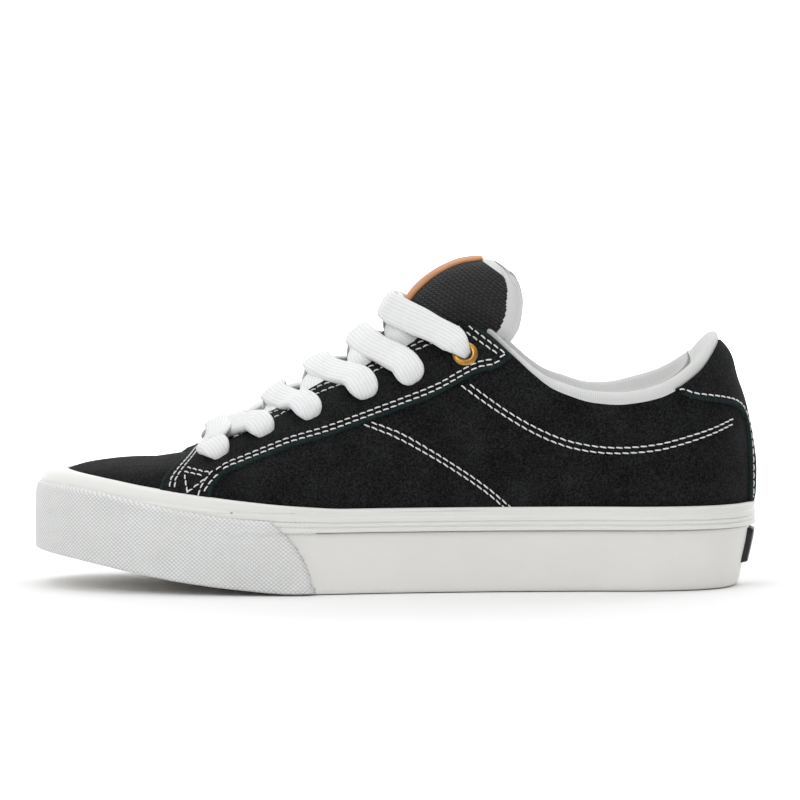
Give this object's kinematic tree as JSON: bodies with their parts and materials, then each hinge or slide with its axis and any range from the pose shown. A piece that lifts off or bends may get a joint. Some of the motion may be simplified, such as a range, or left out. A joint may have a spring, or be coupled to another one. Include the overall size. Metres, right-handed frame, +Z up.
{
  "type": "skateboarding shoe",
  "caption": "Low left skateboarding shoe with a hollow suede upper, padded tongue and collar, flat laces and a flat rubber sole with a ribbed strip and a textured toe bumper.",
  "frame": {"origin": "on the floor under the middle of the shoe's outer box", "axes": "+X from the toe to the heel, +Y from the outer to the inner side of the foot, +Z up"},
  "size_m": [0.2968, 0.1112, 0.1363],
  "materials": {
    "tread_rubber": "matte",
    "wall_rubber": "smooth, satin",
    "strip_rubber": "ribbed, satin",
    "bumper_rubber": "fine diamond texture, matte",
    "label_rubber": "smooth, satin",
    "insole_cloth": "woven, matte",
    "suede": "suede nap, matte",
    "lining_cloth": "knitted, matte",
    "tongue_mesh": "open mesh over padding, matte",
    "tan_leather": "smooth, satin",
    "lace_cotton": "flat ribbed weave, matte",
    "eyelet_brass": "polished, slightly worn"
  },
  "bodies": {
    "root": {"outsole": "tread_rubber", "midsole": "wall_rubber", "foxing": "strip_rubber", "toe_bumper": "bumper_rubber", "heel_label": "label_rubber", "insole": "insole_cloth", "upper": "suede", "eyestay": "suede", "heel_patch": "suede", "collar": "lining_cloth", "tongue": "tongue_mesh", "tongue_label": "tan_leather", "laces": "lace_cotton", "eyelet_lateral": "eyelet_brass", "eyelet_medial": "eyelet_brass"}
  },
  "joints": []
}
